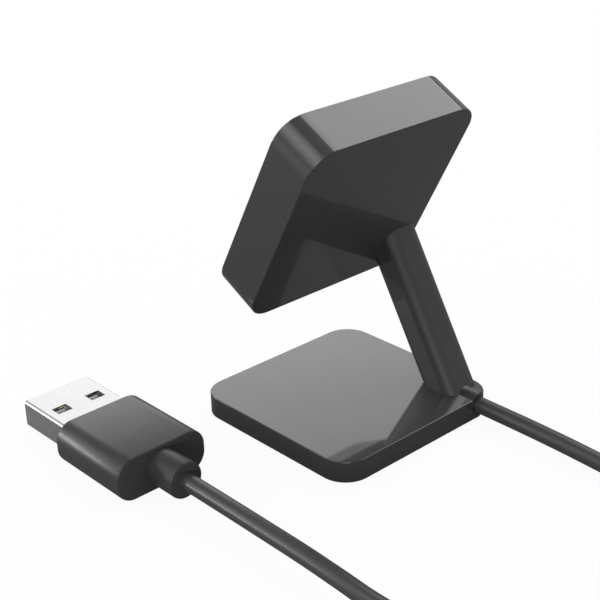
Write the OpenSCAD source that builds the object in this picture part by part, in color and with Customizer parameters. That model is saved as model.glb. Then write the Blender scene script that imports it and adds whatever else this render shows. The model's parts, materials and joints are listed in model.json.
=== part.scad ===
// Charging dock for a square smartwatch: a thin square base, one slanted arm near its
// left side, and a head that leans back and holds the watch on four spring contacts.
// The part stands on z = 0 with its origin under the middle of the base. The watch side
// faces -Y, and the lead leaves at the back, along +Y.

/* [Base] */
// Width and depth of the square base
base_w = 34; // [30:0.5:48]
// Height of the top face of the base above the ground
base_h = 3.8; // [3.6:0.1:5]
// Radius of the upright corners of base and head
corner_r = 4.5; // [4:0.1:6]
// Side wall of the base shell
base_wall = 1.4; // [1.2:0.1:1.8]
// Top wall of the base shell
base_top = 1.0; // [0.8:0.1:1.2]
// Height of the shell's lower edge above the ground
foot_gap = 0.2; // [0.1:0.05:0.4]
// Rounding of the shell's outer edges
edge_r = 0.15; // [0.1:0.05:0.4]
// Thickness of the bottom plate
plate_t = 1.0; // [0.9:0.1:1.3]
// Thickness of the anti-slip pad
pad_t = 0.5; // [0.45:0.05:0.55]
// Bare rim of the bottom plate around the pad
pad_rim = 2.6; // [2:0.1:4]
// Thickness of the steel weight
weight_t = 1.3; // [0.8:0.1:1.4]

/* [Arm] */
// Width of the arm along X
arm_w = 6.7; // [6:0.1:7]
// Thickness of the arm across its slant
arm_t = 6.5; // [6:0.1:7]
// Rounding of the arm's long edges
arm_r = 2.0; // [1.4:0.1:2.4]
// Length of the arm's centre line between base and head
arm_len = 24.6; // [20:0.1:40]
// Rise of the arm above the ground, in degrees
arm_rise = 60; // [56:1:66]
// Centre line of the arm from the left side of the base
arm_edge = 3.8; // [3.7:0.1:5]
// Foot of the centre line from the back of the base
foot_back = 6.5; // [6.4:0.1:7]
// Width of the tongues that reach through the walls
tongue_w = 3.8; // [3.6:0.1:4.2]
// Thickness of the tongues across the slant
tongue_t = 4.6; // [4.4:0.1:5]
// Channel for the inner lead
channel_d = 1.6; // [1.5:0.1:1.8]
// Channel from the centre line, towards the rear of the arm
channel_off = 1.1; // [1:0.05:1.2]

/* [Head] */
// Width and height of the square head
head_w = 34; // [32:0.5:48]
// Depth of the head from its back face to its front rim
head_t = 8.0; // [7.7:0.1:10]
// Lean of the head from the vertical, in degrees
lean = 28.5; // [24:0.5:33]
// Centre line of the arm above the lower edge of the head
head_low = 5.1; // [5:0.1:7]
// Back wall of the head
back_wall = 1.4; // [1.2:0.1:1.6]
// Side wall of the head
side_wall = 1.5; // [1.3:0.1:1.7]
// Thickness of the front cover
cover_t = 1.6; // [1.5:0.1:1.9]
// Diameter of the shallow dish under the watch
dish_d = 25; // [22:0.5:29]
// Depth of the dish at its middle
dish_depth = 0.7; // [0.4:0.05:0.8]

/* [Contacts and magnets] */
// Number of spring contacts
contact_count = 4; // [4:1:4]
// Spacing of the spring contacts
contact_pitch = 2.5; // [2.4:0.05:2.8]
// Outer diameter of a contact barrel
barrel_d = 1.5; // [1.45:0.05:1.6]
// Bore of a contact barrel
barrel_bore = 1.1; // [1.05:0.01:1.15]
// Diameter of a plunger's tip
tip_d = 0.85; // [0.7:0.05:0.9]
// Height of the tips above the contact block
tip_reach = 1.0; // [0.9:0.05:1.1]
// Travel of a plunger
travel = 0.8; // [0.5:0.05:0.8]
// Wire of a contact spring
wire_d = 0.12; // [0.1:0.01:0.13]
// Turns of a contact spring
spring_turns = 4; // [3:0.5:4]
// Diameter of a holding magnet
magnet_d = 6; // [5:0.1:6.4]
// Thickness of a holding magnet
magnet_t = 1.6; // [1.2:0.1:1.6]
// Magnet centres from the sides of the head
magnet_edge = 6; // [5.8:0.1:6.2]

/* [Circuit board] */
// Width and height of the board
board_w = 17; // [16:0.5:17.5]
// Thickness of the board
board_t = 1.0; // [0.8:0.1:1.2]
// Space between the head's back wall and the board
board_gap = 2.1; // [2:0.1:2.3]
// Middle of the board, to the right of the middle of the head
board_x = 1.5; // [1.2:0.1:1.8]

/* [Lead] */
// Outer diameter of the lead
cable_d = 2.7; // [2.5:0.1:2.8]
// Height of the lead's centre line where it enters the base
cable_z = 2.4; // [2.4:0.05:2.6]
// Diameter of the inner wires in the arm
inner_d = 1.4; // [1.2:0.1:1.5]
// Wall of the strain relief sleeve
sleeve_wall = 0.4; // [0.35:0.05:0.45]
// Length of the strain relief sleeve
sleeve_len = 2.7; // [2.4:0.1:2.9]

/* [Plug] */
// Width of the moulded grip
grip_w = 16.2; // [15:0.1:18]
// Height of the moulded grip
grip_h = 7.1; // [6.6:0.1:8]
// Length of the moulded grip
grip_len = 15.9; // [14:0.1:20]
// Rounding of the grip's long edges
grip_r = 3.0; // [2.2:0.1:3.2]
// Diameter of the round collar behind the grip
collar_d = 5.9; // [5:0.1:6.4]
// Length of the collar
collar_len = 5.7; // [4.5:0.1:7]
// Width of the metal plug
shell_w = 12; // [11.9:0.05:12.1]
// Height of the metal plug
shell_h = 4.5; // [4.4:0.05:4.6]
// Free length of the metal plug
shell_len = 12; // [11.5:0.1:12.5]
// Sheet thickness of the metal plug
shell_t = 0.3; // [0.25:0.05:0.35]

/* [Hidden] */
$fn = 64;
// Running gap between fixed plastic pieces, and of a plunger in its bore
fit_gap = 0.05;
run_gap = 0.025;
over = 1;

// Base levels and outlines
plate_top = foot_gap + plate_t;
wall_low = base_h - base_top;
cavity_w = base_w - 2 * base_wall;
cavity_r = corner_r - base_wall;
pad_w = cavity_w - 2 * pad_rim;
pad_r = max(cavity_r - pad_rim / 2, 1);
seat_d = 3.0;
pilot_d = 1.2;
screw_in = 0.3;
screw_head_d = 2.2;
screw_head_h = 0.4;
base_screw_low = pad_t;
weight_gap = 0.25;
// Screw seats: three corners, and one beside the lead's tunnel
seat_off = pad_w / 2 - screw_head_d / 2 - 0.5;
tunnel_r = cable_d / 2 + sleeve_wall;
hump_wall = 0.45;
hump_r = tunnel_r + hump_wall;
seat_tunnel_x = -base_w / 2 + arm_edge + hump_r + seat_d / 2 + 1;
SEATS = [
    [seat_off, seat_off], [seat_off, -seat_off],
    [-seat_off, -seat_off], [seat_tunnel_x, seat_off]
];

// Arm: its foot, its upper end and the head that it carries
arm_x = arm_edge - base_w / 2;
foot_y = base_w / 2 - foot_back;
top_y = foot_y - arm_len * cos(arm_rise);
top_z = base_h + arm_len * sin(arm_rise);
head_x = arm_x - arm_edge + head_w / 2;
arm_up = head_w / 2 - head_low;
head_y = top_y + arm_up * sin(lean);
head_z = top_z + arm_up * cos(lean);
arm_u = arm_x - head_x;
arm_v = -arm_up;

// Clamp plates behind the two walls that the arm's tongues pass through
clamp_t = 1.0;
clamp_screw_d = 1.3;
clamp_head_d = 2.6;
foot_head_h = 0.35;
head_head_h = 0.6;
clamp_wall_gap = 0.15;
clamp_inside = 3;
clamp_ahead = 4.3;
clamp_behind = 0.4;
screw_ahead = 1.0;
clamp_left = -cavity_w / 2 + clamp_wall_gap;
clamp_right = arm_x + clamp_inside;
clamp_front = foot_y - clamp_ahead;
clamp_rear = foot_y + clamp_behind;
foot_screw_y = foot_y - screw_ahead;
foot_screw_len = 2.2;
clamp_side_gap = 0.1;
head_clamp_inside = 3.6;
head_clamp_above = 1.6;
head_screw_below = 0.6;
head_clamp_right = arm_u + head_clamp_inside;
head_screw_v = arm_v - head_screw_below;
head_clamp_high = head_screw_v + head_clamp_above;
head_screw_len = 1.9;
screw_end_gap = 0.1;
tongue_r = 0.8;

// Head levels along its normal
board_low = back_wall + board_gap;
board_high = board_low + board_t;
cover_low = head_t - cover_t;
cover_w = head_w - 2 * side_wall - 2 * fit_gap;
cover_r = corner_r - side_wall - fit_gap;
ledge = 0.8;
ledge_len = 5;
// Snap hooks on the left and right edges of the cover, and their pockets in the side walls
hook_off = 4.3;
hook_w = 2.4;
hook_t = 0.9;
hook_len = 2.2;
hook_nose = 0.35;
hook_nose_h = 0.7;
dish_low = head_t - dish_depth;
dish_ball = (dish_d * dish_d / 4 + dish_depth * dish_depth) / (2 * dish_depth);
magnet_off = head_w / 2 - magnet_edge;
cup_wall = 0.6;
cup_root = 0.2;
post_d = 3.0;
post_edge = 1.6;
post_off = board_w / 2 - post_edge;
post_pilot = 0.6;

// Contact block and its spring contacts, along the head's normal
block_end = 2.25;
block_w = (contact_count - 1) * contact_pitch + 2 * block_end;
block_h = 3.6;
block_r = block_h / 2 - 0.1;
block_flange = 0.8;
mouth_d = tip_d + 2 * run_gap;
mouth_t = 0.35;
barrel_low = board_high;
barrel_floor = barrel_low + 0.4;
barrel_high = dish_low + 0.15;
shoulder_high = barrel_high - mouth_t - 0.02;
shoulder_t = 0.7;
tail_d = 0.6;
tail_len = board_t + 0.3;
spring_d = barrel_bore - 2 * wire_d - 0.04;

// Lead connector on the rear of the board
conn_w = 4;
conn_h = 4;
conn_t = board_gap - 0.3;
conn_edge = 0.4;
conn_up = 5.6;
conn_u = board_x - board_w / 2 + conn_edge + conn_w / 2;
conn_v = conn_up - board_w / 2;

// Inside end of the tunnel, and the corner where the inner wires turn up the arm
back_y = base_w / 2;
sleeve_low = back_y - sleeve_len;
channel_y = foot_y + channel_off / sin(arm_rise);
turn_y = channel_y + (base_h - cable_z) / tan(arm_rise);
tunnel_d = channel_d + 0.4;
pocket_d = channel_d + 0.7;
hump_low = turn_y + 0.8;

// Plug beside the dock, tip towards -Y
plug_x = 35.2;
plug_z = grip_h / 2;
shell_r = 0.5;
grip_back = -3.1;
grip_front = grip_back - grip_len;
collar_end = grip_back + collar_len;
tip_y = grip_front - shell_len;
shell_deep = 4;
window_w = 2.6;
window_l = 2.1;
window_x = 3.1;
window_y = 5.6;
insulator_h = 1.9;
insulator_low = plug_z - shell_h / 2 + shell_t;
blade_w = 1.0;
blade_t = 0.2;
insulator_gap = 0.3;
insulator_back = 0.5;
// Blades from the middle of the plug, and their starts behind the front of the insulator
BLADES = [[-3.5, 0.6], [-1.0, 1.6], [1.0, 1.6], [3.5, 0.6]];

// Chips on the rear of the board: middle as a share of half the board, then width and height
chip_t = 0.9;
chip_w = 3.2;
chip_h = 2.6;
small_chip = 1.6;
coil_long = 2.1;
coil_short = 1.3;
CHIPS = [
    [0.52, 0.50, chip_w, chip_h], [0.42, -0.62, small_chip, small_chip],
    [0.72, 0.02, coil_short, coil_long], [0.72, -0.40, coil_long, coil_short],
    [-0.40, 0.62, coil_short, coil_long]
];

// Route of the lead: straight out of the base, down to the ground and into the coil,
// then from the coil back to the plug. Round numbers, chosen by hand.
BASE_ROUTE = [
    [-13.2, 14.3, 2.4], [-13.2, 17, 2.4], [-13.2, 22, 2.4], [-13.2, 28, 2.35], [-13.2, 34, 2.2],
    [-13.2, 41, 1.9], [-13.2, 48, 1.6], [-13.2, 55, 1.4], [-13.2, 62, 1.35], [-13.2, 69, 1.35],
    [-13.2, 76, 1.35]
];
PLUG_ROUTE = [
    [26, 80, 4.05], [26.1, 75, 4.05], [26.5, 70, 4.05], [27.3, 65, 3.6], [28.7, 60, 2.5],
    [30.7, 55, 1.6], [32.7, 50, 1.6], [34.2, 45, 2], [35, 40, 2.6], [35.2, 35, 3.1],
    [35.2, 28, 3.4], [35.2, 20, 3.5], [35.2, 11, 3.55], [35.2, 2.6, 3.55]
];
cord_sides = 8;
coil_x = 7.8;
coil_y = 85;
coil_mid = 15.6;
coil_columns = 5;

// Rounded square and rounded rectangle
module rounded(w, d, r) {
    square([w - 2 * r, d], center = true);
    square([w, d - 2 * r], center = true);
    for (sx = [-1, 1], sy = [-1, 1])
        translate([sx * (w / 2 - r), sy * (d / 2 - r)]) circle(r = r);
}

module plate(w, r, h) {
    linear_extrude(h) rounded(w, w, r);
}

// Half of a filleted section: from the axis to r, with rounded outer corners
module half_section(r, h, f) {
    square([r - f, h]);
    translate([0, f]) square([r, h - 2 * f]);
    for (z = [f, h - f]) translate([r - f, z]) circle(r = f);
}

// Rounded square block whose outer edges are rounded by f above and below
module soft_plate(w, r, h, f) {
    flat = w - 2 * r;
    for (a = [0, 90]) rotate(a)
        translate([0, flat / 2, 0]) rotate([90, 0, 0]) linear_extrude(flat)
            for (s = [0, 1]) mirror([s, 0]) translate([w / 2 - r, 0]) half_section(r, h, f);
    translate([-flat / 2 - r / 2, -flat / 2, 0]) cube([flat + r, flat, h]);
    translate([-flat / 2, -flat / 2 - r / 2, 0]) cube([flat, flat + r, h]);
    for (sx = [-1, 1], sy = [-1, 1])
        translate([sx * flat / 2, sy * flat / 2, 0]) rotate_extrude()
            half_section(r, h, f);
}

// Frames: the arm's own, up its slant, and the head's own, along its normal
module at_arm() {
    translate([arm_x, foot_y, base_h]) rotate([90 - arm_rise, 0, 0]) children();
}

module at_head() {
    translate([head_x, head_y, head_z]) rotate([90 - lean, 0, 0]) children();
}

function head_point(p) = [
    head_x + p[0],
    head_y + p[1] * sin(lean) - p[2] * cos(lean),
    head_z + p[1] * cos(lean) + p[2] * sin(lean)
];

module contact_places() {
    for (i = [0 : contact_count - 1]) translate([contact_u(i), 0, 0]) children();
}

function contact_u(i) = (i - (contact_count - 1) / 2) * contact_pitch;

// Tube swept through a list of points
function unit(v) = v / norm(v);
function heading(p, i) = unit(p[min(i + 1, len(p) - 1)] - p[max(i - 1, 0)]);
function side_of(t) = unit(cross(t, [0, 0, 1]));
function ring(p, i, r, sides) =
    let (t = heading(p, i), s = side_of(t), u = cross(s, t))
    [for (k = [0 : sides - 1]) p[i] + r * (cos(360 * k / sides) * s + sin(360 * k / sides) * u)];

module tube(p, r, sides) {
    n = len(p);
    points = [for (i = [0 : n - 1]) each ring(p, i, r, sides)];
    walls = [for (i = [0 : n - 2], k = [0 : sides - 1]) [
        i * sides + k, i * sides + (k + 1) % sides,
        (i + 1) * sides + (k + 1) % sides, (i + 1) * sides + k
    ]];
    first = [for (k = [sides - 1 : -1 : 0]) k];
    last = [for (k = [0 : sides - 1]) (n - 1) * sides + k];
    polyhedron(points, concat(walls, [first, last]), convexity = 8);
}

// Base
module hump() {
    intersection() {
        translate([arm_x, hump_low, cable_z]) rotate([-90, 0, 0]) cylinder(r = hump_r, h = back_y);
        plate(base_w, corner_r, base_h + base_w);
    }
}

module tunnel() {
    translate([arm_x, sleeve_low, cable_z]) rotate([-90, 0, 0]) cylinder(r = tunnel_r, h = back_y);
}

module base_shell() {
    color([0.13, 0.13, 0.14]) difference() {
        union() {
            difference() {
                translate([0, 0, foot_gap]) soft_plate(base_w, corner_r, base_h - foot_gap, edge_r);
                translate([0, 0, -over]) plate(cavity_w, cavity_r, wall_low + over);
            }
            for (p = SEATS)
                translate([p[0], p[1], plate_top]) cylinder(d = seat_d, h = base_h - edge_r - plate_top);
            hump();
        }
        arm_bar();
        tongue(fit_gap);
        wire_pocket();
        tunnel();
        for (p = SEATS)
            translate([p[0], p[1], 0]) cylinder(d = pilot_d, h = wall_low + screw_in);
    }
}

module tunnel_notch(gap) {
    translate([arm_x - hump_r - gap, hump_low - gap, -over])
        cube([2 * (hump_r + gap), back_y, wall_low + over]);
}

module base_plate() {
    color([0.16, 0.16, 0.17]) difference() {
        translate([0, 0, foot_gap]) plate(cavity_w - 2 * fit_gap, cavity_r - fit_gap, plate_t);
        translate([0, 0, -over]) plate(pad_w + 2 * fit_gap, pad_r + fit_gap, pad_t + over);
        tunnel_notch(fit_gap);
        for (p = SEATS) translate([p[0], p[1], 0]) {
            cylinder(d = pilot_d, h = base_h);
            cylinder(d = screw_head_d, h = base_screw_low + screw_head_h);
        }
    }
}

module base_pad() {
    color([0.08, 0.08, 0.08]) difference() {
        plate(pad_w, pad_r, pad_t);
        tunnel_notch(fit_gap);
    }
}

module base_weight() {
    color([0.62, 0.63, 0.65]) difference() {
        translate([0, 0, plate_top]) plate(cavity_w - 2 * weight_gap, cavity_r - weight_gap, weight_t);
        for (p = SEATS) translate([p[0], p[1], 0]) cylinder(d = seat_d + 2 * weight_gap, h = base_h);
        translate([-base_w, clamp_front - weight_gap, 0])
            cube([base_w + clamp_right + weight_gap, base_w, base_h]);
    }
}

module base_screws() {
    color([0.75, 0.75, 0.77]) for (p = SEATS) translate([p[0], p[1], 0]) {
        translate([0, 0, base_screw_low]) {
            cylinder(d = screw_head_d, h = screw_head_h);
            cylinder(d = pilot_d, h = wall_low + screw_in - screw_end_gap - base_screw_low);
        }
    }
}

// Arm: a bar cut off level at z = low and square to the head at its level high
module slanted_bar(w, t, r, low, high) {
    wide = 4 * base_w;
    difference() {
        at_arm() translate([0, 0, -arm_len / 2]) linear_extrude(2 * arm_len) rounded(w, t, r);
        translate([-wide / 2, -wide / 2, low - wide]) cube(wide);
        at_head() translate([-wide / 2, -wide / 2, high]) cube(wide);
    }
}

module arm_bar() {
    slanted_bar(arm_w, arm_t, arm_r, base_h, 0);
}

module tongue(gap) {
    slanted_bar(tongue_w + 2 * gap, tongue_t + 2 * gap, tongue_r, wall_low, back_wall);
}

// Room for the inner wires where they leave the tunnel and turn up the arm
module wire_pocket() {
    translate([arm_x, turn_y, cable_z]) {
        sphere(d = pocket_d);
        rotate([-90, 0, 0]) cylinder(d = tunnel_d, h = back_y);
    }
}

module arm() {
    color([0.14, 0.14, 0.15]) difference() {
        union() {
            arm_bar();
            tongue(0);
        }
        at_arm() translate([0, channel_off, -arm_len / 2]) cylinder(d = channel_d, h = 2 * arm_len);
        wire_pocket();
        tunnel();
        translate([arm_x, foot_screw_y, 0]) cylinder(d = clamp_screw_d, h = wall_low + foot_screw_len);
        at_head() translate([arm_u, head_screw_v, back_wall - head_screw_len])
            cylinder(d = clamp_screw_d, h = head_t);
    }
}

module arm_foot_clamp() {
    color([0.7, 0.7, 0.72]) difference() {
        translate([clamp_left, clamp_front, wall_low - clamp_t])
            cube([clamp_right - clamp_left, clamp_rear - clamp_front, clamp_t]);
        translate([arm_x, foot_screw_y, 0]) cylinder(d = clamp_screw_d, h = base_h);
    }
}

module arm_foot_screw() {
    color([0.75, 0.75, 0.77]) translate([arm_x, foot_screw_y, wall_low]) {
        translate([0, 0, -clamp_t - foot_head_h]) cylinder(d = clamp_head_d, h = foot_head_h);
        translate([0, 0, -clamp_t])
            cylinder(d = clamp_screw_d, h = clamp_t + foot_screw_len - screw_end_gap);
    }
}

module arm_head_clamp() {
    inset = side_wall + clamp_side_gap;
    color([0.7, 0.7, 0.72]) at_head() difference() {
        translate([0, 0, back_wall]) intersection() {
            plate(head_w - 2 * inset, corner_r - inset, clamp_t);
            translate([head_clamp_right - head_w, head_clamp_high - head_w, 0]) cube(head_w);
        }
        translate([arm_u, head_screw_v, 0]) cylinder(d = clamp_screw_d, h = head_t);
    }
}

module arm_head_screw() {
    color([0.75, 0.75, 0.77]) at_head() translate([arm_u, head_screw_v, back_wall]) {
        translate([0, 0, clamp_t]) cylinder(d = clamp_head_d, h = head_head_h);
        translate([0, 0, screw_end_gap - head_screw_len])
            cylinder(d = clamp_screw_d, h = head_screw_len - screw_end_gap + clamp_t);
    }
}

// Head: places of the four magnets, and of the board's two posts and screws
module corners(off) {
    for (sx = [-1, 1], sy = [-1, 1]) translate([sx * off, sy * off, 0]) children();
}

module post_places() {
    for (s = [-1, 1]) translate([board_x, s * post_off, 0]) children();
}

// Four hooks: a leg inside the wall and a nose that reaches into it
module hooks(gap) {
    low = cover_low - hook_len;
    for (sx = [-1, 1], sy = [-1, 1]) mirror([sx < 0 ? 1 : 0, 0, 0])
        translate([cover_w / 2, sy * hook_off - hook_w / 2, low]) {
            translate([-hook_t, 0, 0]) cube([hook_t, hook_w, hook_len + cover_t / 2]);
            translate([-hook_t, -gap, -gap])
                cube([hook_t + fit_gap + hook_nose + gap, hook_w + 2 * gap, hook_nose_h + 2 * gap]);
        }
}

module head_shell() {
    inner = head_w - 2 * side_wall;
    inner_r = corner_r - side_wall;
    root = back_wall / 2;
    color([0.13, 0.13, 0.14]) difference() {
        union() {
            at_head() difference() {
                soft_plate(head_w, corner_r, head_t, edge_r);
                translate([0, 0, back_wall]) plate(inner, inner_r, head_t);
                hooks(fit_gap);
            }
            at_head() for (a = [0, 90, 180, 270]) rotate(a)
                translate([-ledge_len / 2, inner / 2 - ledge, root])
                    cube([ledge_len, ledge + side_wall / 2, cover_low - root]);
            at_head() translate([0, 0, root]) post_places() cylinder(d = post_d, h = board_low - root);
        }
        tongue(fit_gap);
        at_head() translate([0, 0, back_wall - post_pilot]) post_places() cylinder(d = pilot_d, h = head_t);
    }
}

module front_cover() {
    color([0.11, 0.11, 0.12]) at_head() difference() {
        union() {
            translate([0, 0, cover_low]) plate(cover_w, cover_r, cover_t);
            translate([0, 0, cover_low - magnet_t + cup_root]) corners(magnet_off)
                cylinder(d = magnet_d + 2 * cup_wall, h = magnet_t);
            hooks(0);
        }
        translate([0, 0, dish_low + dish_ball]) sphere(r = dish_ball, $fn = 128);
        corners(magnet_off) cylinder(d = magnet_d, h = cover_low);
        linear_extrude(2 * head_t) rounded(block_w + 2 * fit_gap, block_h + 2 * fit_gap, block_r);
    }
}

module contact_block() {
    color([0.09, 0.09, 0.1]) at_head() difference() {
        union() {
            translate([0, 0, board_high]) linear_extrude(dish_low - board_high)
                rounded(block_w, block_h, block_r);
            translate([0, 0, board_high]) linear_extrude(cover_low - board_high)
                rounded(block_w + 2 * block_flange, block_h + 2 * block_flange, block_h / 2);
        }
        contact_places() cylinder(d = barrel_d, h = head_t);
    }
}

module contact_barrel(i) {
    color([0.83, 0.67, 0.32]) at_head() translate([contact_u(i), 0, 0]) {
        difference() {
            translate([0, 0, barrel_low]) cylinder(d = barrel_d, h = barrel_high - barrel_low);
            translate([0, 0, barrel_floor])
                cylinder(d = barrel_bore, h = barrel_high - mouth_t - barrel_floor);
            translate([0, 0, barrel_floor]) cylinder(d = mouth_d, h = head_t);
        }
        translate([0, 0, board_high - tail_len]) cylinder(d = tail_d, h = tail_len + 0.1);
    }
}

module contact_plunger(i) {
    ball = tip_d / 2;
    tip_high = dish_low + tip_reach;
    color([0.88, 0.73, 0.38]) at_head() translate([contact_u(i), 0, 0]) {
        translate([0, 0, shoulder_high - shoulder_t]) cylinder(d = barrel_bore - 2 * run_gap, h = shoulder_t);
        translate([0, 0, shoulder_high - 0.1]) cylinder(d = tip_d, h = tip_high - ball - shoulder_high + 0.1);
        translate([0, 0, tip_high - ball]) sphere(r = ball);
    }
}

module contact_spring(i) {
    low = barrel_floor + wire_d / 2;
    high = shoulder_high - shoulder_t - wire_d / 2;
    per_turn = 12;
    steps = spring_turns * per_turn;
    route = [for (k = [0 : steps]) let (a = 360 * k / per_turn) head_point([
        contact_u(i) + spring_d / 2 * cos(a),
        spring_d / 2 * sin(a),
        low + (high - low) * k / steps
    ])];
    color([0.8, 0.8, 0.82]) tube(route, wire_d / 2, 5);
}

module magnet(i) {
    side = [[1, 1], [-1, 1], [-1, -1], [1, -1]][i];
    color([0.72, 0.73, 0.75]) at_head()
        translate([side[0] * magnet_off, side[1] * magnet_off, cover_low - magnet_t])
            cylinder(d = magnet_d, h = magnet_t);
}

// Circuit board
module circuit_board() {
    color([0.05, 0.32, 0.16]) at_head() difference() {
        translate([board_x, 0, board_low]) plate(board_w, 1, board_t);
        post_places() cylinder(d = pilot_d, h = head_t);
        contact_places() cylinder(d = tail_d, h = head_t);
    }
}

module board_parts() {
    half = board_w / 2;
    color([0.1, 0.1, 0.1]) at_head() for (p = CHIPS)
        translate([board_x + p[0] * half - p[2] / 2, p[1] * half - p[3] / 2, board_low - chip_t])
            cube([p[2], p[3], chip_t]);
}

module board_screws() {
    low = back_wall - post_pilot + screw_end_gap;
    color([0.75, 0.75, 0.77]) at_head() post_places() {
        translate([0, 0, board_high]) cylinder(d = screw_head_d, h = screw_head_h);
        translate([0, 0, low]) cylinder(d = pilot_d, h = board_high - low);
    }
}

module lead_connector() {
    color([0.9, 0.9, 0.86]) at_head()
        translate([conn_u - conn_w / 2, conn_v - conn_h / 2, board_low - conn_t])
            cube([conn_w, conn_h, conn_t]);
}

// Inner wires: along the tunnel, up the arm's channel and round to the connector
function channel_point(s) = [
    arm_x,
    foot_y - s * cos(arm_rise) + channel_off * sin(arm_rise),
    base_h + s * sin(arm_rise) + channel_off * cos(arm_rise)
];

// Point of a bend that starts at a, heads for b and ends at c
function bend(a, b, c, t) = (1 - t) * (1 - t) * a + 2 * t * (1 - t) * b + t * t * c;

module inner_lead() {
    mid = back_wall + board_gap / 2;
    turn = [arm_x, turn_y, cable_z];
    conn_left = conn_u - conn_w / 2;
    leave = [arm_u + 0.6, arm_v + 3.1, mid];
    steer = [conn_left - 3, conn_v, mid];
    arrive = [conn_left - 0.6, conn_v, mid];
    route = concat(
        [
            [arm_x, sleeve_low, cable_z],
            turn + [0, 0.9, 0],
            turn + [0, 0.25, 0.14],
            turn + [0, -0.3, 0.85],
            channel_point(1),
            channel_point(arm_len * 0.35),
            channel_point(arm_len * 0.7),
            channel_point(arm_len - 1),
            head_point([arm_u + 0.05, arm_v + 2.45, back_wall + 0.55])
        ],
        [for (t = [0 : 0.25 : 1]) head_point(bend(leave, steer, arrive, t))],
        [head_point([conn_left, conn_v, mid])]
    );
    color([0.55, 0.1, 0.1]) tube(route, inner_d / 2, 8);
}

// Lead
module strain_relief() {
    color([0.1, 0.1, 0.1]) intersection() {
        translate([arm_x, sleeve_low, cable_z]) rotate([-90, 0, 0]) difference() {
            cylinder(r = tunnel_r, h = sleeve_len);
            translate([0, 0, -over]) cylinder(d = cable_d, h = sleeve_len + 2 * over);
        }
        plate(base_w, corner_r, base_w);
    }
}

module cord_base() {
    color([0.12, 0.12, 0.12]) tube(BASE_ROUTE, cable_d / 2, cord_sides);
}

module cord_plug() {
    color([0.12, 0.12, 0.12]) tube(PLUG_ROUTE, cable_d / 2, cord_sides);
}

// Outer shape of the coil: five columns of turns below, four above
module coil_section() {
    first = coil_mid - (coil_columns - 1) / 2 * cable_d;
    module row(columns, z) {
        width = (columns - 1) * cable_d;
        translate([first, z - cable_d / 2]) square([width, cable_d]);
        for (x = [first, first + width]) translate([x, z]) circle(d = cable_d);
    }
    row(coil_columns, cable_d / 2);
    row(coil_columns - 1, 1.5 * cable_d);
    translate([first, cable_d / 2]) square([(coil_columns - 2) * cable_d, cable_d]);
}

module cord_coil() {
    color([0.12, 0.12, 0.12]) translate([coil_x, coil_y, 0]) rotate_extrude($fn = 96) coil_section();
}

// Plug
module at_plug(y) {
    translate([plug_x, y, plug_z]) rotate([-90, 0, 0]) children();
}

module plug_grip() {
    color([0.15, 0.15, 0.16]) difference() {
        union() {
            at_plug(grip_front) linear_extrude(grip_len) rounded(grip_w, grip_h, grip_r);
            at_plug(grip_back - over) cylinder(d = collar_d, h = collar_len + over);
        }
        at_plug(grip_front - over) linear_extrude(over + shell_deep) rounded(shell_w, shell_h, shell_r);
    }
}

module plug_shell() {
    length = shell_len + shell_deep;
    color([0.82, 0.83, 0.84]) difference() {
        at_plug(tip_y) linear_extrude(length) rounded(shell_w, shell_h, shell_r);
        at_plug(tip_y - over) linear_extrude(length + 2 * over)
            rounded(shell_w - 2 * shell_t, shell_h - 2 * shell_t, shell_r / 2);
        for (sx = [-1, 1])
            translate([plug_x + sx * window_x - window_w / 2, grip_front - window_y - window_l / 2, -over])
                cube([window_w, window_l, grip_h + 2 * over]);
    }
}

module plug_insulator() {
    width = shell_w - 2 * shell_t - 2 * insulator_gap;
    color([0.12, 0.12, 0.12])
        translate([plug_x - width / 2, tip_y + insulator_back, insulator_low])
            cube([width, shell_len + shell_deep - insulator_back, insulator_h]);
}

module plug_blades() {
    color([0.86, 0.7, 0.35]) for (b = BLADES)
        translate([plug_x + b[0] - blade_w / 2, tip_y + insulator_back + b[1], insulator_low + insulator_h])
            cube([blade_w, shell_len - insulator_back - b[1], blade_t]);
}

base_shell();
base_plate();
base_pad();
base_weight();
base_screws();
arm();
arm_foot_clamp();
arm_foot_screw();
arm_head_clamp();
arm_head_screw();
head_shell();
front_cover();
contact_block();
contact_barrel(0);  // contact_barrel_1
contact_barrel(1);  // contact_barrel_2
contact_barrel(2);  // contact_barrel_3
contact_barrel(3);  // contact_barrel_4
contact_plunger(0);  // contact_plunger_1
contact_plunger(1);  // contact_plunger_2
contact_plunger(2);  // contact_plunger_3
contact_plunger(3);  // contact_plunger_4
contact_spring(0);  // contact_spring_1
contact_spring(1);  // contact_spring_2
contact_spring(2);  // contact_spring_3
contact_spring(3);  // contact_spring_4
magnet(0);  // magnet_1
magnet(1);  // magnet_2
magnet(2);  // magnet_3
magnet(3);  // magnet_4
circuit_board();
board_parts();
board_screws();
lead_connector();
inner_lead();
strain_relief();
cord_base();
cord_coil();
cord_plug();
plug_grip();
plug_shell();
plug_insulator();
plug_blades();
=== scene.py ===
"""Charging dock for a square smartwatch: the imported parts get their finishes, the lead is laid
out, and the plug's moulded grip, the tabs in its windows and the contact springs are modelled
over them. Lengths are in metres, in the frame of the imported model."""

import json
import math

import bmesh
import bpy
from mathutils import Matrix, Vector


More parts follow.
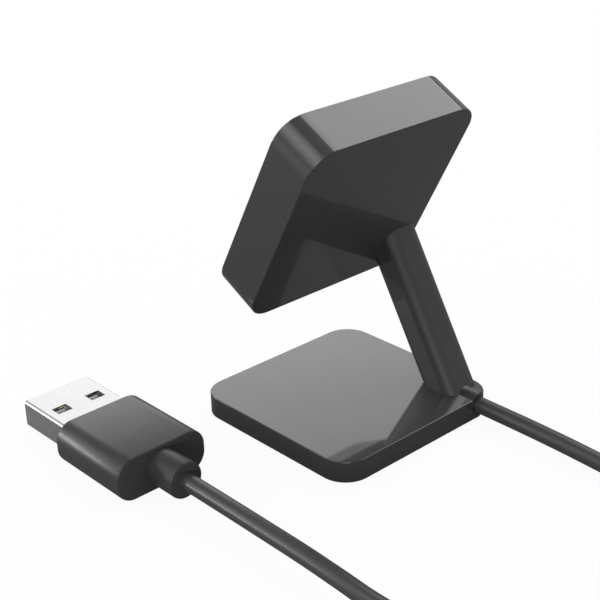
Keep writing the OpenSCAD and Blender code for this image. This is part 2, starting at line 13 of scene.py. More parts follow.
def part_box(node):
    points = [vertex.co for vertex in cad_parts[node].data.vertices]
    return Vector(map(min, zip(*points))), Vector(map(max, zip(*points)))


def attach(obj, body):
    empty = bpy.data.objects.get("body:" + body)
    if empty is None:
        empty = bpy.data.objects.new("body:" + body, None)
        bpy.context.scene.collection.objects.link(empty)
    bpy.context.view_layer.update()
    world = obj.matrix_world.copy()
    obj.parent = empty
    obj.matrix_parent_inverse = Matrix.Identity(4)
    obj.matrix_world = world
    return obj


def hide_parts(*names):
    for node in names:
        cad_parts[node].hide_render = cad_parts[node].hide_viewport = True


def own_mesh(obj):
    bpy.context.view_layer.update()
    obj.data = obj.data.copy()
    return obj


bl_info = {
    "name": "Smartwatch Charging Dock",
    "version": (1, 0, 0),
    "blender": (4, 5, 0),
    "location": "View3D > Sidebar > Charging Dock",
    "description": "Dresses a small charging dock with a slanted arm, its lead and its plug",
    "category": "Add Mesh",
}

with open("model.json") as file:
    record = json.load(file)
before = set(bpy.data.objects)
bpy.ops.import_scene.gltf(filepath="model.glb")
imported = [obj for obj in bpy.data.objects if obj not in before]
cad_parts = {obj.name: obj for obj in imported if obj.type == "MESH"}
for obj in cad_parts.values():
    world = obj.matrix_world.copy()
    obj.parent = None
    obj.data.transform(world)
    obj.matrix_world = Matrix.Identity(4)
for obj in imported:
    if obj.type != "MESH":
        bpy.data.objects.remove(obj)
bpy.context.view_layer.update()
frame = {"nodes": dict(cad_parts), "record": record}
NODES = frame["nodes"]
BODY = "dock"
MM = 0.001
# Lengths and places that differ by less count as the same
NEAR = 0.01 * MM

# Camera, fitted to the straight edges of the dock in the photograph
CAMERA_PLACE = (0.13253, 0.13611, 0.10910)
CAMERA_RIGHT = (-0.73413, 0.67856, -0.02477)
CAMERA_DOWN = (0.30473, 0.29664, -0.90507)
CAMERA_AHEAD = (-0.60679, -0.67199, -0.42455)
CAMERA_LENS = 79.91

# Studio: the side of the floor, the level of the light from all round, and the soft lamps, each
# with its name, place, width, height, watts and spread in degrees
FLOOR_SIDE = 6
SKY_LEVEL = 0.45
LAMP_AIM = (0, 0, 0.02)
LAMPS = [
    ("back_box", (-0.5, -0.8, 0.4), 0.55, 0.7, 2.1, 180),
    ("top_box", (-0.62, 0.0, 0.8), 0.9, 0.6, 4.8, 180),
    ("left_box", (0.45, -0.56, 0.065), 0.4, 0.11, 2.0, 180),
    ("left_fill", (0.46, -0.57, 0.27), 0.45, 0.4, 1.1, 180),
    ("side_box", (0.68, -0.06, 0.8), 0.95, 0.95, 0.72, 58),
    ("front_box", (0.5, 0.56, 0.06), 0.4, 0.1, 2.6, 180),
]

# The lead's route in millimetres, as in the part's source: out of the base and into the coil,
# then from the coil to the plug
BASE_ROUTE = [
    (-13.2, 14.3, 2.4), (-13.2, 17, 2.4), (-13.2, 22, 2.4), (-13.2, 28, 2.35), (-13.2, 34, 2.2),
    (-13.2, 41, 1.9), (-13.2, 48, 1.6), (-13.2, 55, 1.4), (-13.2, 62, 1.35), (-13.2, 69, 1.35),
    (-13.2, 76, 1.35),
]
PLUG_ROUTE = [
    (26, 80, 4.05), (26.1, 75, 4.05), (26.5, 70, 4.05), (27.3, 65, 3.6), (28.7, 60, 2.5),
    (30.7, 55, 1.6), (32.7, 50, 1.6), (34.2, 45, 2), (35, 40, 2.6), (35.2, 35, 3.1),
    (35.2, 28, 3.4), (35.2, 20, 3.5), (35.2, 11, 3.55), (35.2, 2.6, 3.55),
]
COIL_MIDDLE = (7.8, 85.0)
COIL_FIRST = 10.2
LEAD_MM = 2.7
LOWER_TURNS = 5
UPPER_TURNS = 3.5
POINTS_A_TURN = 24
JOG_SHARE = 1 / 6

# The plug in millimetres: the collar behind its grip, the rounding of its metal sleeve, and the
# tab in each of the sleeve's windows, which dips at its middle
COLLAR_LONG = 5.7
COLLAR_ACROSS = 5.9
COLLAR_SIDES = 72
SLEEVE_ROUNDING = 0.5
WINDOW_FROM_GRIP = 5.6
WINDOW_ASIDE = 3.1
TAB_WIDE = 2.1
TAB_BEFORE = 1.3
TAB_BEHIND = 0.85
TAB_DEPTH = 0.5
TAB_SHEET = 0.2
TAB_CUTS = 7
TAB_FOLD = 0.3
TAB_DIP = 0.25
TAB_DIP_REACH = 1.1

# The contact springs in millimetres, along the head's normal
HEAD_LEAN = math.radians(28.5)
CONTACTS = 4
SPRING_MM = 1.475
SPRING_ACROSS = 0.82
SPRING_WIRE = 0.12
SPRING_TURNS = 4
WIRE_SIDES = 8
STEPS_A_TURN = 16


# Properties
class DockSizes(bpy.types.PropertyGroup):
    lead_diameter: bpy.props.FloatProperty(
        name="Lead diameter", description="Outer diameter of the round lead",
        default=LEAD_MM * MM, min=0.001, max=0.008, unit="LENGTH", precision=4,
    )
    grip_edge: bpy.props.FloatProperty(
        name="Grip edge", description="Rounding where the grip's ends meet its sides",
        default=0.00028, min=0.0001, max=0.001, unit="LENGTH", precision=5,
    )
    grip_side: bpy.props.FloatProperty(
        name="Grip side", description="Rounding of the grip's long edges",
        default=0.003, min=0.001, max=0.0034, unit="LENGTH", precision=5,
    )


class DockColours(bpy.types.PropertyGroup):
    housing: bpy.props.FloatVectorProperty(
        name="Housing", description="Smooth moulded plastic of base, arm and head",
        default=(0.024, 0.024, 0.0248), size=3, min=0, max=1, subtype="COLOR",
    )
    jacket: bpy.props.FloatVectorProperty(
        name="Lead", description="Jacket of the lead and its sleeve",
        default=(0.036, 0.036, 0.0366), size=3, min=0, max=1, subtype="COLOR",
    )
    grip: bpy.props.FloatVectorProperty(
        name="Plug grip", description="Moulded grip of the plug",
        default=(0.03, 0.03, 0.0308), size=3, min=0, max=1, subtype="COLOR",
    )
    background: bpy.props.FloatVectorProperty(
        name="Floor", description="Pale floor under the dock",
        default=(0.8, 0.8, 0.8), size=3, min=0, max=1, subtype="COLOR",
    )


def sizes():
    return bpy.context.scene.dock_sizes


def colours():
    return bpy.context.scene.dock_colours


# Modelling helpers
def deselect_all():
    if bpy.context.object and bpy.context.object.mode != "OBJECT":
        bpy.ops.object.mode_set(mode="OBJECT")
    bpy.ops.object.select_all(action="DESELECT")


def make_active(piece):
    deselect_all()
    piece.select_set(True)
    bpy.context.view_layer.objects.active = piece


def new_block(name, low, high):
    """A block between two corners, its place in its mesh."""
    deselect_all()
    low, high = Vector(low), Vector(high)
    bpy.ops.mesh.primitive_cube_add(size=1, location=(low + high) / 2)
    piece = bpy.context.object
    piece.name = name
    piece.data.name = name
    piece.scale = high - low
    bpy.ops.object.transform_apply(location=True, rotation=True, scale=True)
    return piece


def select_edges(piece, wanted):
    """Selects in edit mode the edges for which wanted(start, end) is true."""
    make_active(piece)
    bpy.ops.object.mode_set(mode="EDIT")
    bpy.ops.mesh.select_mode(type="EDGE")
    bpy.ops.mesh.select_all(action="DESELECT")
    mesh = bmesh.from_edit_mesh(piece.data)
    mesh.select_mode = {"EDGE"}
    for edge in mesh.edges:
        edge.select_set(wanted(edge.verts[0].co, edge.verts[1].co))
    bmesh.update_edit_mesh(piece.data)


def bevel_edges(piece, wanted, width, segments):
    """Rounds the edges for which wanted(start, end) is true."""
    select_edges(piece, wanted)
    bpy.ops.mesh.bevel(offset=width, offset_type="OFFSET", segments=segments, profile=0.5)
    bpy.ops.object.mode_set(mode="OBJECT")


def cut_with(piece, cutter, operation="DIFFERENCE"):
    """Applies a boolean of the two closed shapes and removes the cutter."""
    make_active(piece)
    change = piece.modifiers.new("cut", "BOOLEAN")
    change.operation = operation
    change.solver = "EXACT"
    change.object = cutter
    bpy.ops.object.modifier_apply(modifier=change.name)
    bpy.data.objects.remove(cutter)


def copy_piece(piece, move):
    """Adds a moved copy of the piece, with its own mesh, to the piece."""
    make_active(piece)
    bpy.ops.object.duplicate()
    copy = bpy.context.object
    copy.matrix_world = move
    bpy.ops.object.transform_apply(location=True, rotation=True, scale=True)
    piece.select_set(True)
    bpy.context.view_layer.objects.active = piece
    bpy.ops.object.join()


def smooth_shade(piece, degrees):
    make_active(piece)
    bpy.ops.object.shade_smooth_by_angle(angle=math.radians(degrees))


def dress(piece, material):
    piece.data.materials.clear()
    piece.data.materials.append(material)


def finish_piece(piece, material, slot, *stands_for):
    """Dresses a piece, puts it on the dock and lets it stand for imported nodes."""
    dress(piece, material)
    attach(piece, BODY)
    if stands_for:
        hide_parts(*stands_for)


# Shared effects as node groups
def new_group(name, inputs, outputs):
    group = bpy.data.node_groups.new(name, "ShaderNodeTree")
    for label, default in inputs:
        socket = group.interface.new_socket(label, in_out="INPUT", socket_type="NodeSocketFloat")
        socket.default_value = default
    for label in outputs:
        group.interface.new_socket(label, in_out="OUTPUT", socket_type="NodeSocketFloat")
    return group, group.nodes.new("NodeGroupInput"), group.nodes.new("NodeGroupOutput")


def moulding_group():
    """Skin of moulded plastic: a very shallow ripple, fine grain and faint handling marks."""
    name = "Moulded Skin"
    if name in bpy.data.node_groups:
        return bpy.data.node_groups[name]
    inputs = [
        ("Grain Scale", 9000.0), ("Ripple Scale", 140.0), ("Roughness", 0.12), ("Spread", 0.04)]
    group, start, end = new_group(name, inputs, ["Roughness", "Height", "Tone"])
    add, link = group.nodes.new, group.links.new
    place = add("ShaderNodeTexCoord")
    grain = add("ShaderNodeTexNoise")
    grain.inputs["Detail"].default_value = 2
    ripple = add("ShaderNodeTexNoise")
    ripple.inputs["Detail"].default_value = 3
    marks = add("ShaderNodeTexNoise")
    marks.inputs["Detail"].default_value = 2
    marks.inputs["Scale"].default_value = 260
    marks.inputs["Distortion"].default_value = 0.3
    for texture in (grain, ripple, marks):
        link(place.outputs["Object"], texture.inputs["Vector"])
    link(start.outputs["Grain Scale"], grain.inputs["Scale"])
    link(start.outputs["Ripple Scale"], ripple.inputs["Scale"])
    band = add("ShaderNodeMapRange")
    band.inputs["From Min"].default_value = 0.2
    band.inputs["From Max"].default_value = 0.8
    band.inputs["To Min"].default_value = -0.5
    band.inputs["To Max"].default_value = 0.5
    link(marks.outputs["Fac"], band.inputs["Value"])
    spread = add("ShaderNodeMath")
    spread.operation = "MULTIPLY_ADD"
    link(band.outputs["Result"], spread.inputs[0])
    link(start.outputs["Spread"], spread.inputs[1])
    link(start.outputs["Roughness"], spread.inputs[2])
    link(spread.outputs["Value"], end.inputs["Roughness"])
    height = add("ShaderNodeMath")
    height.operation = "MULTIPLY_ADD"
    height.inputs[1].default_value = 0.25
    link(grain.outputs["Fac"], height.inputs[0])
    link(ripple.outputs["Fac"], height.inputs[2])
    link(height.outputs["Value"], end.inputs["Height"])
    tone = add("ShaderNodeMapRange")
    tone.inputs["To Min"].default_value = 0.9
    tone.inputs["To Max"].default_value = 1.1
    link(ripple.outputs["Fac"], tone.inputs["Value"])
    link(tone.outputs["Result"], end.inputs["Tone"])
    return group


def metal_group():
    """Rolled or drawn metal: fine lines along one axis and slow changes of sheen."""
    name = "Drawn Metal"
    if name in bpy.data.node_groups:
        return bpy.data.node_groups[name]
    inputs = [("Roughness", 0.25), ("Spread", 0.1), ("Line Scale", 2500.0)]
    group, start, end = new_group(name, inputs, ["Roughness", "Height", "Tone"])
    add, link = group.nodes.new, group.links.new
    place = add("ShaderNodeTexCoord")
    stretch = add("ShaderNodeMapping")
    stretch.inputs["Scale"].default_value = (1, 0.04, 1)
    lines = add("ShaderNodeTexNoise")
    lines.inputs["Detail"].default_value = 2
    cloud = add("ShaderNodeTexNoise")
    cloud.inputs["Scale"].default_value = 260
    link(place.outputs["Object"], stretch.inputs["Vector"])
    link(stretch.outputs["Vector"], lines.inputs["Vector"])
    link(place.outputs["Object"], cloud.inputs["Vector"])
    link(start.outputs["Line Scale"], lines.inputs["Scale"])
    mix = add("ShaderNodeMath")
    mix.operation = "MULTIPLY"
    link(lines.outputs["Fac"], mix.inputs[0])
    link(cloud.outputs["Fac"], mix.inputs[1])
    spread = add("ShaderNodeMath")
    spread.operation = "MULTIPLY_ADD"
    link(mix.outputs["Value"], spread.inputs[0])
    link(start.outputs["Spread"], spread.inputs[1])
    link(start.outputs["Roughness"], spread.inputs[2])
    link(spread.outputs["Value"], end.inputs["Roughness"])
    link(lines.outputs["Fac"], end.inputs["Height"])
    tone = add("ShaderNodeMapRange")
    tone.inputs["To Min"].default_value = 0.92
    tone.inputs["To Max"].default_value = 1.06
    link(cloud.outputs["Fac"], tone.inputs["Value"])
    link(tone.outputs["Result"], end.inputs["Tone"])
    return group


def surface(name, group, values, colour, bump, metallic=0.0, coat=0.0, sheen=0.5):
    """A material whose colour, roughness and relief come from one of the shared groups."""
    if name in bpy.data.materials:
        return bpy.data.materials[name]
    material = bpy.data.materials.new(name)
    material.use_nodes = True
    nodes, link = material.node_tree.nodes, material.node_tree.links.new
    shader = nodes["Principled BSDF"]
    shader.inputs["Metallic"].default_value = metallic
    shader.inputs["IOR"].default_value = 1.45
    shader.inputs["Specular IOR Level"].default_value = sheen
    shader.inputs["Coat Weight"].default_value = coat
    shader.inputs["Coat Roughness"].default_value = 0.05
    skin = nodes.new("ShaderNodeGroup")
    skin.node_tree = group
    for label, value in values.items():
        skin.inputs[label].default_value = value
    tint = nodes.new("ShaderNodeMix")
    tint.data_type = "RGBA"
    tint.blend_type = "MULTIPLY"
    tint.inputs["Factor"].default_value = 1
    tint.inputs["A"].default_value = (*colour, 1)
    link(skin.outputs["Tone"], tint.inputs["B"])
    link(tint.outputs["Result"], shader.inputs["Base Color"])
    link(skin.outputs["Roughness"], shader.inputs["Roughness"])
    relief = nodes.new("ShaderNodeBump")
    relief.inputs["Strength"].default_value = 1
    relief.inputs["Distance"].default_value = bump
    link(skin.outputs["Height"], relief.inputs["Height"])
    link(relief.outputs["Normal"], shader.inputs["Normal"])
    return material


def plastic(
        name, colour, roughness, spread=0.03, bump=0.000002, grain=9000.0, ripple=60.0, coat=0.0,
        sheen=0.5):
    """Moulded plastic or rubber, its grain and ripple in waves per metre."""
    values = {
        "Roughness": roughness, "Spread": spread, "Grain Scale": grain, "Ripple Scale": ripple}
    return surface(name, moulding_group(), values, colour, bump, coat=coat, sheen=sheen)


def metal(name, colour, roughness, spread=0.12, bump=0.000002, lines=2500.0, metallic=1.0):
    """Rolled or drawn metal, its lines in waves per metre."""
    values = {"Roughness": roughness, "Spread": spread, "Line Scale": lines}
    return surface(name, metal_group(), values, colour, bump, metallic=metallic)


def housing_finish():
    return plastic("Glossy charcoal", tuple(colours().housing), 0.42, spread=0.05, coat=0.9, sheen=0.2)


def cover_finish():
    return plastic("Satin cover", (0.012, 0.012, 0.0125), 0.3, spread=0.06, bump=0.000004)


def inner_finish():
    return plastic("Inner moulding", (0.022, 0.022, 0.023), 0.45, spread=0.08, bump=0.00001)


def block_finish():
    return plastic("Contact moulding", (0.012, 0.012, 0.012), 0.4, spread=0.08, bump=0.000006)


def pad_finish():
    return plastic("Foam rubber", (0.012, 0.012, 0.012), 0.75, spread=0.1, bump=0.00004, grain=3500.0)


def sleeve_finish():
    return plastic("Soft sleeve", (0.015, 0.015, 0.015), 0.3, spread=0.05, bump=0.000006)


def jacket_finish():
    return plastic("Lead jacket", tuple(colours().jacket), 0.34, spread=0.04)


def grip_finish():
    return plastic("Grip moulding", tuple(colours().grip), 0.36, spread=0.04, bump=0.000003, sheen=0.4)


def sheet_finish():
    return metal("Bright plated sheet", (0.44, 0.44, 0.44), 0.2, metallic=0.85)


# The tabs' metal is a darker copy of the sleeve's plated sheet: painted shade inside the windows
def painted_shade_tab_finish():
    return metal("Spring tab", (0.3, 0.3, 0.3), 0.4)


def gold_finish():
    return metal("Gold plating", (0.83, 0.58, 0.24), 0.16, spread=0.06, bump=0.000001)


def screw_finish():
    return metal("Zinc plated screw", (0.6, 0.61, 0.63), 0.28)


def weight_finish():
    return metal("Zinc plated sheet", (0.52, 0.53, 0.55), 0.36, spread=0.2)


def magnet_finish():
    return metal("Nickel plated magnet", (0.66, 0.66, 0.67), 0.15, spread=0.05)


def spring_finish():
    return metal("Spring wire", (0.6, 0.6, 0.62), 0.2)


def insulator_finish():
    return plastic("Black insulator", (0.012, 0.012, 0.012), 0.4, spread=0.06)


def board_finish():
    return plastic("Solder mask", (0.008, 0.09, 0.035), 0.25, spread=0.08, bump=0.00001, ripple=900.0)


def chip_finish():
    return plastic("Chip moulding", (0.014, 0.014, 0.014), 0.5, spread=0.08, bump=0.000008)


def connector_finish():
    return plastic("Ivory moulding", (0.62, 0.59, 0.48), 0.4, spread=0.06)


def wire_finish():
    return plastic("Wire insulation", (0.17, 0.008, 0.007), 0.35, spread=0.06)


# Stage
class DOCK_OT_camera(bpy.types.Operator):
    """Places the camera at the photograph's viewing angle"""

    bl_idname = "dock.camera"
    bl_label = "Place Camera"

    def execute(self, context):
        deselect_all()
        bpy.ops.object.camera_add()
        camera = context.object
        camera.name = "camera"
        up = [-c for c in CAMERA_DOWN]
        back = [-c for c in CAMERA_AHEAD]
        turn = Matrix((CAMERA_RIGHT, up, back)).transposed()
        camera.matrix_world = Matrix.Translation(CAMERA_PLACE) @ turn.to_4x4()
        camera.data.lens = CAMERA_LENS
        camera.data.sensor_width = 36
        camera.data.clip_start = 0.01
        camera.data.clip_end = 50
        context.scene.camera = camera
        return {"FINISHED"}


def glow_for_rays(nodes, link, below, rays, share, tone, kind="ShaderNodeEmission"):
    """Mixes a plain even tone over a shader for one or two kinds of ray."""
    path = nodes.new("ShaderNodeLightPath")
    either = nodes.new("ShaderNodeMath")
    either.operation = "MAXIMUM"
    either.inputs[1].default_value = 0
    for index, ray in enumerate(rays):
        link(path.outputs[ray], either.inputs[index])
    weighed = nodes.new("ShaderNodeMath")
    weighed.operation = "MULTIPLY"
    weighed.inputs[1].default_value = share
    link(either.outputs["Value"], weighed.inputs[0])
    glow = nodes.new(kind)
    glow.inputs["Color"].default_value = (tone, tone, tone, 1)
    mix = nodes.new("ShaderNodeMixShader")
    link(weighed.outputs["Value"], mix.inputs["Fac"])
    link(below, mix.inputs[1])
    link(glow.outputs[0], mix.inputs[2])
    return mix.outputs["Shader"]


def plain_background(material):
    """White where the camera looks at the floor, and a plain grey in reflections of it."""
    nodes, link = material.node_tree.nodes, material.node_tree.links.new
    lit = nodes["Principled BSDF"].outputs["BSDF"]
    seen = glow_for_rays(nodes, link, lit, ("Is Camera Ray",), share=0.94, tone=1.0)
    mirrored = glow_for_rays(
        nodes, link, seen, ("Is Glossy Ray", "Is Transmission Ray"), share=0.9, tone=0.1)
    link(mirrored, nodes["Material Output"].inputs["Surface"])


def soft_box(name, place, width, height, watts, spread):
    """A lamp panel turned to the dock; a small spread lets its light fade towards its edges."""
    bpy.ops.object.light_add(type="AREA", location=place)
    lamp = bpy.context.object
    lamp.name = name
    lamp.data.shape = "RECTANGLE"
    lamp.data.size = width
    lamp.data.size_y = height
    lamp.data.energy = watts
    lamp.data.spread = math.radians(spread)
    ahead = Vector(LAMP_AIM) - Vector(place)
    lamp.rotation_euler = ahead.to_track_quat("-Z", "Y").to_euler()


class DOCK_OT_stage(bpy.types.Operator):
    """Lays the pale floor and sets the soft studio light"""

    bl_idname = "dock.stage"
    bl_label = "Add Stage"

    def execute(self, context):
        deselect_all()
        bpy.ops.mesh.primitive_plane_add(size=FLOOR_SIDE, location=(0, 0, 0))
        floor = context.object
        floor.name = "floor"
        pale = bpy.data.materials.new("Pale floor")
        pale.use_nodes = True
        shader = pale.node_tree.nodes["Principled BSDF"]
        shader.inputs["Base Color"].default_value = (*colours().background, 1)
        shader.inputs["Roughness"].default_value = 0.9
        plain_background(pale)
        dress(floor, pale)

        world = bpy.data.worlds.new("studio")
        world.use_nodes = True
        context.scene.world = world
        sky = world.node_tree.nodes["Background"]
        sky.inputs["Color"].default_value = (1, 1, 1, 1)
        sky.inputs["Strength"].default_value = SKY_LEVEL
        nodes, link = world.node_tree.nodes, world.node_tree.links.new
        seen = glow_for_rays(
            nodes, link, sky.outputs["Background"], ("Is Camera Ray", "Is Transmission Ray"),
            share=1.0, tone=1.0, kind="ShaderNodeBackground")
        link(seen, nodes["World Output"].inputs["Surface"])

        for lamp in LAMPS:
            soft_box(*lamp)
        context.scene.view_settings.view_transform = "Standard"
        return {"FINISHED"}


# The lead
def coil_points():
    """Turns beside each other, five below running inwards, then three and a half above."""
    radii = [COIL_FIRST + LEAD_MM * k for k in range(LOWER_TURNS - 1, -1, -1)]
    radii += [COIL_FIRST + LEAD_MM * k for k in range(math.ceil(UPPER_TURNS))]
    heights = [LEAD_MM / 2] * LOWER_TURNS + [1.5 * LEAD_MM] * math.ceil(UPPER_TURNS)
    points = []
    for k in range(round((LOWER_TURNS + UPPER_TURNS) * POINTS_A_TURN) + 1):
        turn, part = divmod(k / POINTS_A_TURN, 1)
        turn = int(turn)
        after = min(turn + 1, len(radii) - 1)
        jog = max(0.0, (part - 1 + JOG_SHARE) / JOG_SHARE)
        jog = jog * jog * (3 - 2 * jog)
        radius = radii[turn] + (radii[after] - radii[turn]) * jog
        height = heights[turn] + (heights[after] - heights[turn]) * jog
        angle = math.pi - 2 * math.pi * part
        points.append((
            COIL_MIDDLE[0] + radius * math.cos(angle),
            COIL_MIDDLE[1] + radius * math.sin(angle),
            height,
        ))
    return points


def lead_points():
    return [Vector(p) * MM for p in BASE_ROUTE + coil_points() + PLUG_ROUTE]


def length_of(points):
    return sum((b - a).length for a, b in zip(points, points[1:]))


class DOCK_OT_lead(bpy.types.Operator):
    """Lays the lead from the base through its coil to the plug"""

    bl_idname = "dock.lead"
    bl_label = "Lay Lead"

    def execute(self, context):
        points = lead_points()
        curve = bpy.data.curves.new("lead", "CURVE")
        curve.dimensions = "3D"
        curve.resolution_u = 5
        curve.bevel_depth = sizes().lead_diameter / 2
        curve.bevel_resolution = 6
        curve.use_fill_caps = True
        spline = curve.splines.new("BEZIER")
        spline.bezier_points.add(len(points) - 1)
        for knot, point in zip(spline.bezier_points, points):
            knot.co = point
            knot.handle_left_type = "AUTO"
            knot.handle_right_type = "AUTO"
        lead = bpy.data.objects.new("lead", curve)
        context.collection.objects.link(lead)
        finish_piece(lead, jacket_finish(), "cable", "cord_base", "cord_coil", "cord_plug")
        return {"FINISHED"}


def declare_lead():
    """Works out the lead's length once the pieces on it are made, and keeps nothing of it."""
    round(length_of(lead_points()), 3)


# The plug
def along_y(start, end):
    """True for an edge of more than half a millimetre that runs straight along Y."""
    run = abs(start.y - end.y)
    return run > 0.5 * MM and (start - end).length - run < NEAR


def across_y(start, end):
    """True for an edge that lies square to Y."""
    return abs(start.y - end.y) < NEAR


class DOCK_OT_overmould(bpy.types.Operator):
    """Models the plug's moulded grip and its round collar"""

    bl_idname = "dock.overmould"
    bl_label = "Model Plug Grip"

    def execute(self, context):
        low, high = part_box("plug_grip")
        shell_low, shell_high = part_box("plug_shell")
        collar_length = COLLAR_LONG * MM
        edge = sizes().grip_edge
        back = high.y - collar_length
        grip = new_block("plug_overmould", low, (high.x, back, high.z))
        bevel_edges(grip, along_y, sizes().grip_side, segments=16)
        bevel_edges(grip, across_y, edge, segments=3)
        bpy.ops.mesh.primitive_cylinder_add(
            vertices=COLLAR_SIDES, radius=COLLAR_ACROSS / 2 * MM, depth=collar_length + MM,
            location=((low.x + high.x) / 2, back + (collar_length - MM) / 2, (low.z + high.z) / 2),
            rotation=(math.pi / 2, 0, 0),
        )
        collar = context.object
        collar.name = "collar"
        bpy.ops.object.transform_apply(location=True, rotation=True, scale=True)
        bevel_edges(
            collar, lambda start, end: max(abs(start.y - high.y), abs(end.y - high.y)) < NEAR,
            edge, segments=3)
        cut_with(grip, collar, "UNION")
        pocket = new_block("pocket", (shell_low.x, low.y - MM, shell_low.z), shell_high)
        bevel_edges(pocket, along_y, SLEEVE_ROUNDING * MM, segments=5)
        cut_with(grip, pocket)
        smooth_shade(grip, degrees=40)
        finish_piece(grip, grip_finish(), "grip_plastic", "plug_grip")
        return {"FINISHED"}


class DOCK_OT_window_tabs(bpy.types.Operator):
    """Bends a small spring tab in each window of the metal sleeve"""

    bl_idname = "dock.window_tabs"
    bl_label = "Model Window Tabs"

    def execute(self, context):
        low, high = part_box("plug_shell")
        middle = (low + high) / 2
        window_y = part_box("plug_grip")[0].y - WINDOW_FROM_GRIP * MM
        side = WINDOW_ASIDE * MM
        half = TAB_WIDE / 2 * MM
        depth = TAB_DEPTH * MM
        tab = new_block(
            "window_tabs",
            (middle.x + side - half, window_y - TAB_BEFORE * MM, high.z - depth - TAB_SHEET * MM),
            (middle.x + side + half, window_y + TAB_BEHIND * MM, high.z - depth),
        )
        bpy.ops.object.mode_set(mode="EDIT")
        bpy.ops.mesh.select_all(action="SELECT")
        bpy.ops.mesh.subdivide(number_cuts=TAB_CUTS)
        bpy.ops.object.mode_set(mode="OBJECT")
        select_edges(
            tab, lambda start, end:
            max(abs(start.y - window_y), abs(end.y - window_y)) < TAB_FOLD * MM)
        bpy.ops.transform.translate(
            value=(0, 0, -TAB_DIP * MM), use_proportional_edit=True,
            proportional_edit_falloff="SMOOTH", proportional_size=TAB_DIP_REACH * MM,
        )
        bpy.ops.object.mode_set(mode="OBJECT")
        copy_piece(tab, Matrix.Translation((-2 * side, 0, 0)))
        about = Matrix.Translation((middle.x, 0, middle.z))
        copy_piece(tab, about @ Matrix.Rotation(math.pi, 4, "Y") @ about.inverted())
        smooth_shade(tab, degrees=40)
        finish_piece(tab, painted_shade_tab_finish(), "plug_metal")
        return {"FINISHED"}


# The contact springs
def wound_spring(name):
    """A closed coil of round wire that stands on the origin, its axis upright."""
    deselect_all()
    bpy.ops.mesh.primitive_circle_add(
        vertices=WIRE_SIDES, radius=SPRING_WIRE / 2 * MM,
        location=(SPRING_ACROSS / 2 * MM, 0, SPRING_WIRE / 2 * MM), rotation=(math.pi / 2, 0, 0),
    )
    spring = bpy.context.object
    spring.name = name
    bpy.ops.object.transform_apply(location=True, rotation=True, scale=True)
    turns = spring.modifiers.new("turns", "SCREW")
    turns.axis = "Z"
    turns.screw_offset = (SPRING_MM - SPRING_WIRE) / SPRING_TURNS * MM
    turns.iterations = SPRING_TURNS
    turns.steps = STEPS_A_TURN
    turns.render_steps = STEPS_A_TURN
    bpy.ops.object.modifier_apply(modifier=turns.name)
    bpy.ops.object.mode_set(mode="EDIT")
    bpy.ops.mesh.select_all(action="SELECT")
    bpy.ops.mesh.fill_holes(sides=0)
    bpy.ops.mesh.select_all(action="SELECT")
    bpy.ops.mesh.normals_make_consistent(inside=False)
    bpy.ops.object.mode_set(mode="OBJECT")
    smooth_shade(spring, degrees=50)
    return spring


class DOCK_OT_springs(bpy.types.Operator):
    """Winds the springs under the contact pins"""

    bl_idname = "dock.springs"
    bl_label = "Wind Contact Springs"

    def execute(self, context):
        pattern = wound_spring("spring_pattern")
        upright = Matrix.Rotation(math.pi / 2 - HEAD_LEAN, 4, "X")
        along = upright @ Vector((0, 0, 1))
        for number in range(1, CONTACTS + 1):
            node = f"contact_spring_{number}"
            low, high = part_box(node)
            foot = (low + high) / 2 - along * SPRING_MM / 2 * MM
            make_active(pattern)
            bpy.ops.object.duplicate()
            spring = context.object
            spring.name = f"wound_spring_{number}"
            spring.data.name = spring.name
            spring.matrix_world = Matrix.Translation(foot) @ upright
            bpy.ops.object.transform_apply(location=True, rotation=True, scale=True)
            finish_piece(spring, spring_finish(), "spring_steel", node)
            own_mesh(spring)
        bpy.data.objects.remove(pattern)
        return {"FINISHED"}


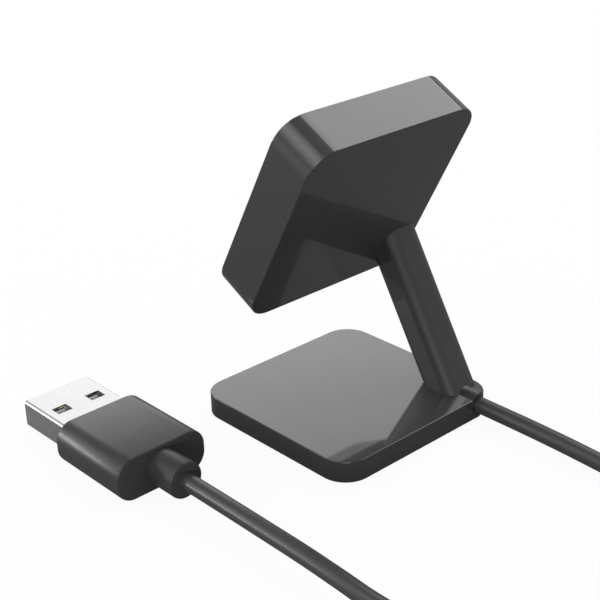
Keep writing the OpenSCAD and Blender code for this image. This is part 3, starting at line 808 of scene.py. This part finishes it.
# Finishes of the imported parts
class DOCK_OT_finishes(bpy.types.Operator):
    """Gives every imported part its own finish"""

    bl_idname = "dock.finishes"
    bl_label = "Apply Finishes"

    def execute(self, context):
        finishes = {
            "housing": housing_finish, "arm_plastic": housing_finish, "cover_plastic": cover_finish,
            "inner_plastic": inner_finish, "contact_plastic": block_finish, "pad_rubber": pad_finish,
            "soft_rubber": sleeve_finish, "cable": jacket_finish, "grip_plastic": grip_finish,
            "plug_metal": sheet_finish, "insulator": insulator_finish, "gold": gold_finish,
            "barrel_gold": gold_finish, "spring_steel": spring_finish, "screw_steel": screw_finish,
            "zinc_steel": weight_finish, "magnet": magnet_finish, "board": board_finish,
            "board_parts": chip_finish, "connector_plastic": connector_finish,
            "inner_wires": wire_finish,
        }
        for part in frame["record"]["subparts"]:
            node = NODES[part["node"]]
            dress(node, finishes[part["material_slot"]]())
        return {"FINISHED"}


class DOCK_PT_panel(bpy.types.Panel):
    """Lists the dock's pieces and their settings"""

    bl_idname = "DOCK_PT_panel"
    bl_label = "Charging Dock"
    bl_space_type = "VIEW_3D"
    bl_region_type = "UI"
    bl_category = "Charging Dock"

    def draw(self, context):
        for group in (context.scene.dock_sizes, context.scene.dock_colours):
            for name in group.bl_rna.properties.keys():
                if name not in ("rna_type", "name"):
                    self.layout.prop(group, name)
        for operator in OPERATORS:
            self.layout.operator(operator.bl_idname)


OPERATORS = (
    DOCK_OT_camera, DOCK_OT_lead, DOCK_OT_finishes, DOCK_OT_overmould, DOCK_OT_window_tabs,
    DOCK_OT_springs, DOCK_OT_stage,
)
CLASSES = (DockSizes, DockColours, *OPERATORS, DOCK_PT_panel)


def register():
    for item in CLASSES:
        bpy.utils.register_class(item)
    bpy.types.Scene.dock_sizes = bpy.props.PointerProperty(type=DockSizes)
    bpy.types.Scene.dock_colours = bpy.props.PointerProperty(type=DockColours)


def unregister():
    del bpy.types.Scene.dock_colours
    del bpy.types.Scene.dock_sizes
    for item in reversed(CLASSES):
        bpy.utils.unregister_class(item)


def main():
    register()
    bpy.ops.dock.camera()
    bpy.ops.dock.lead()
    bpy.ops.dock.finishes()
    bpy.ops.dock.overmould()
    bpy.ops.dock.window_tabs()
    bpy.ops.dock.springs()
    bpy.ops.dock.stage()
    declare_lead()


if __name__ == "__main__":
    main()
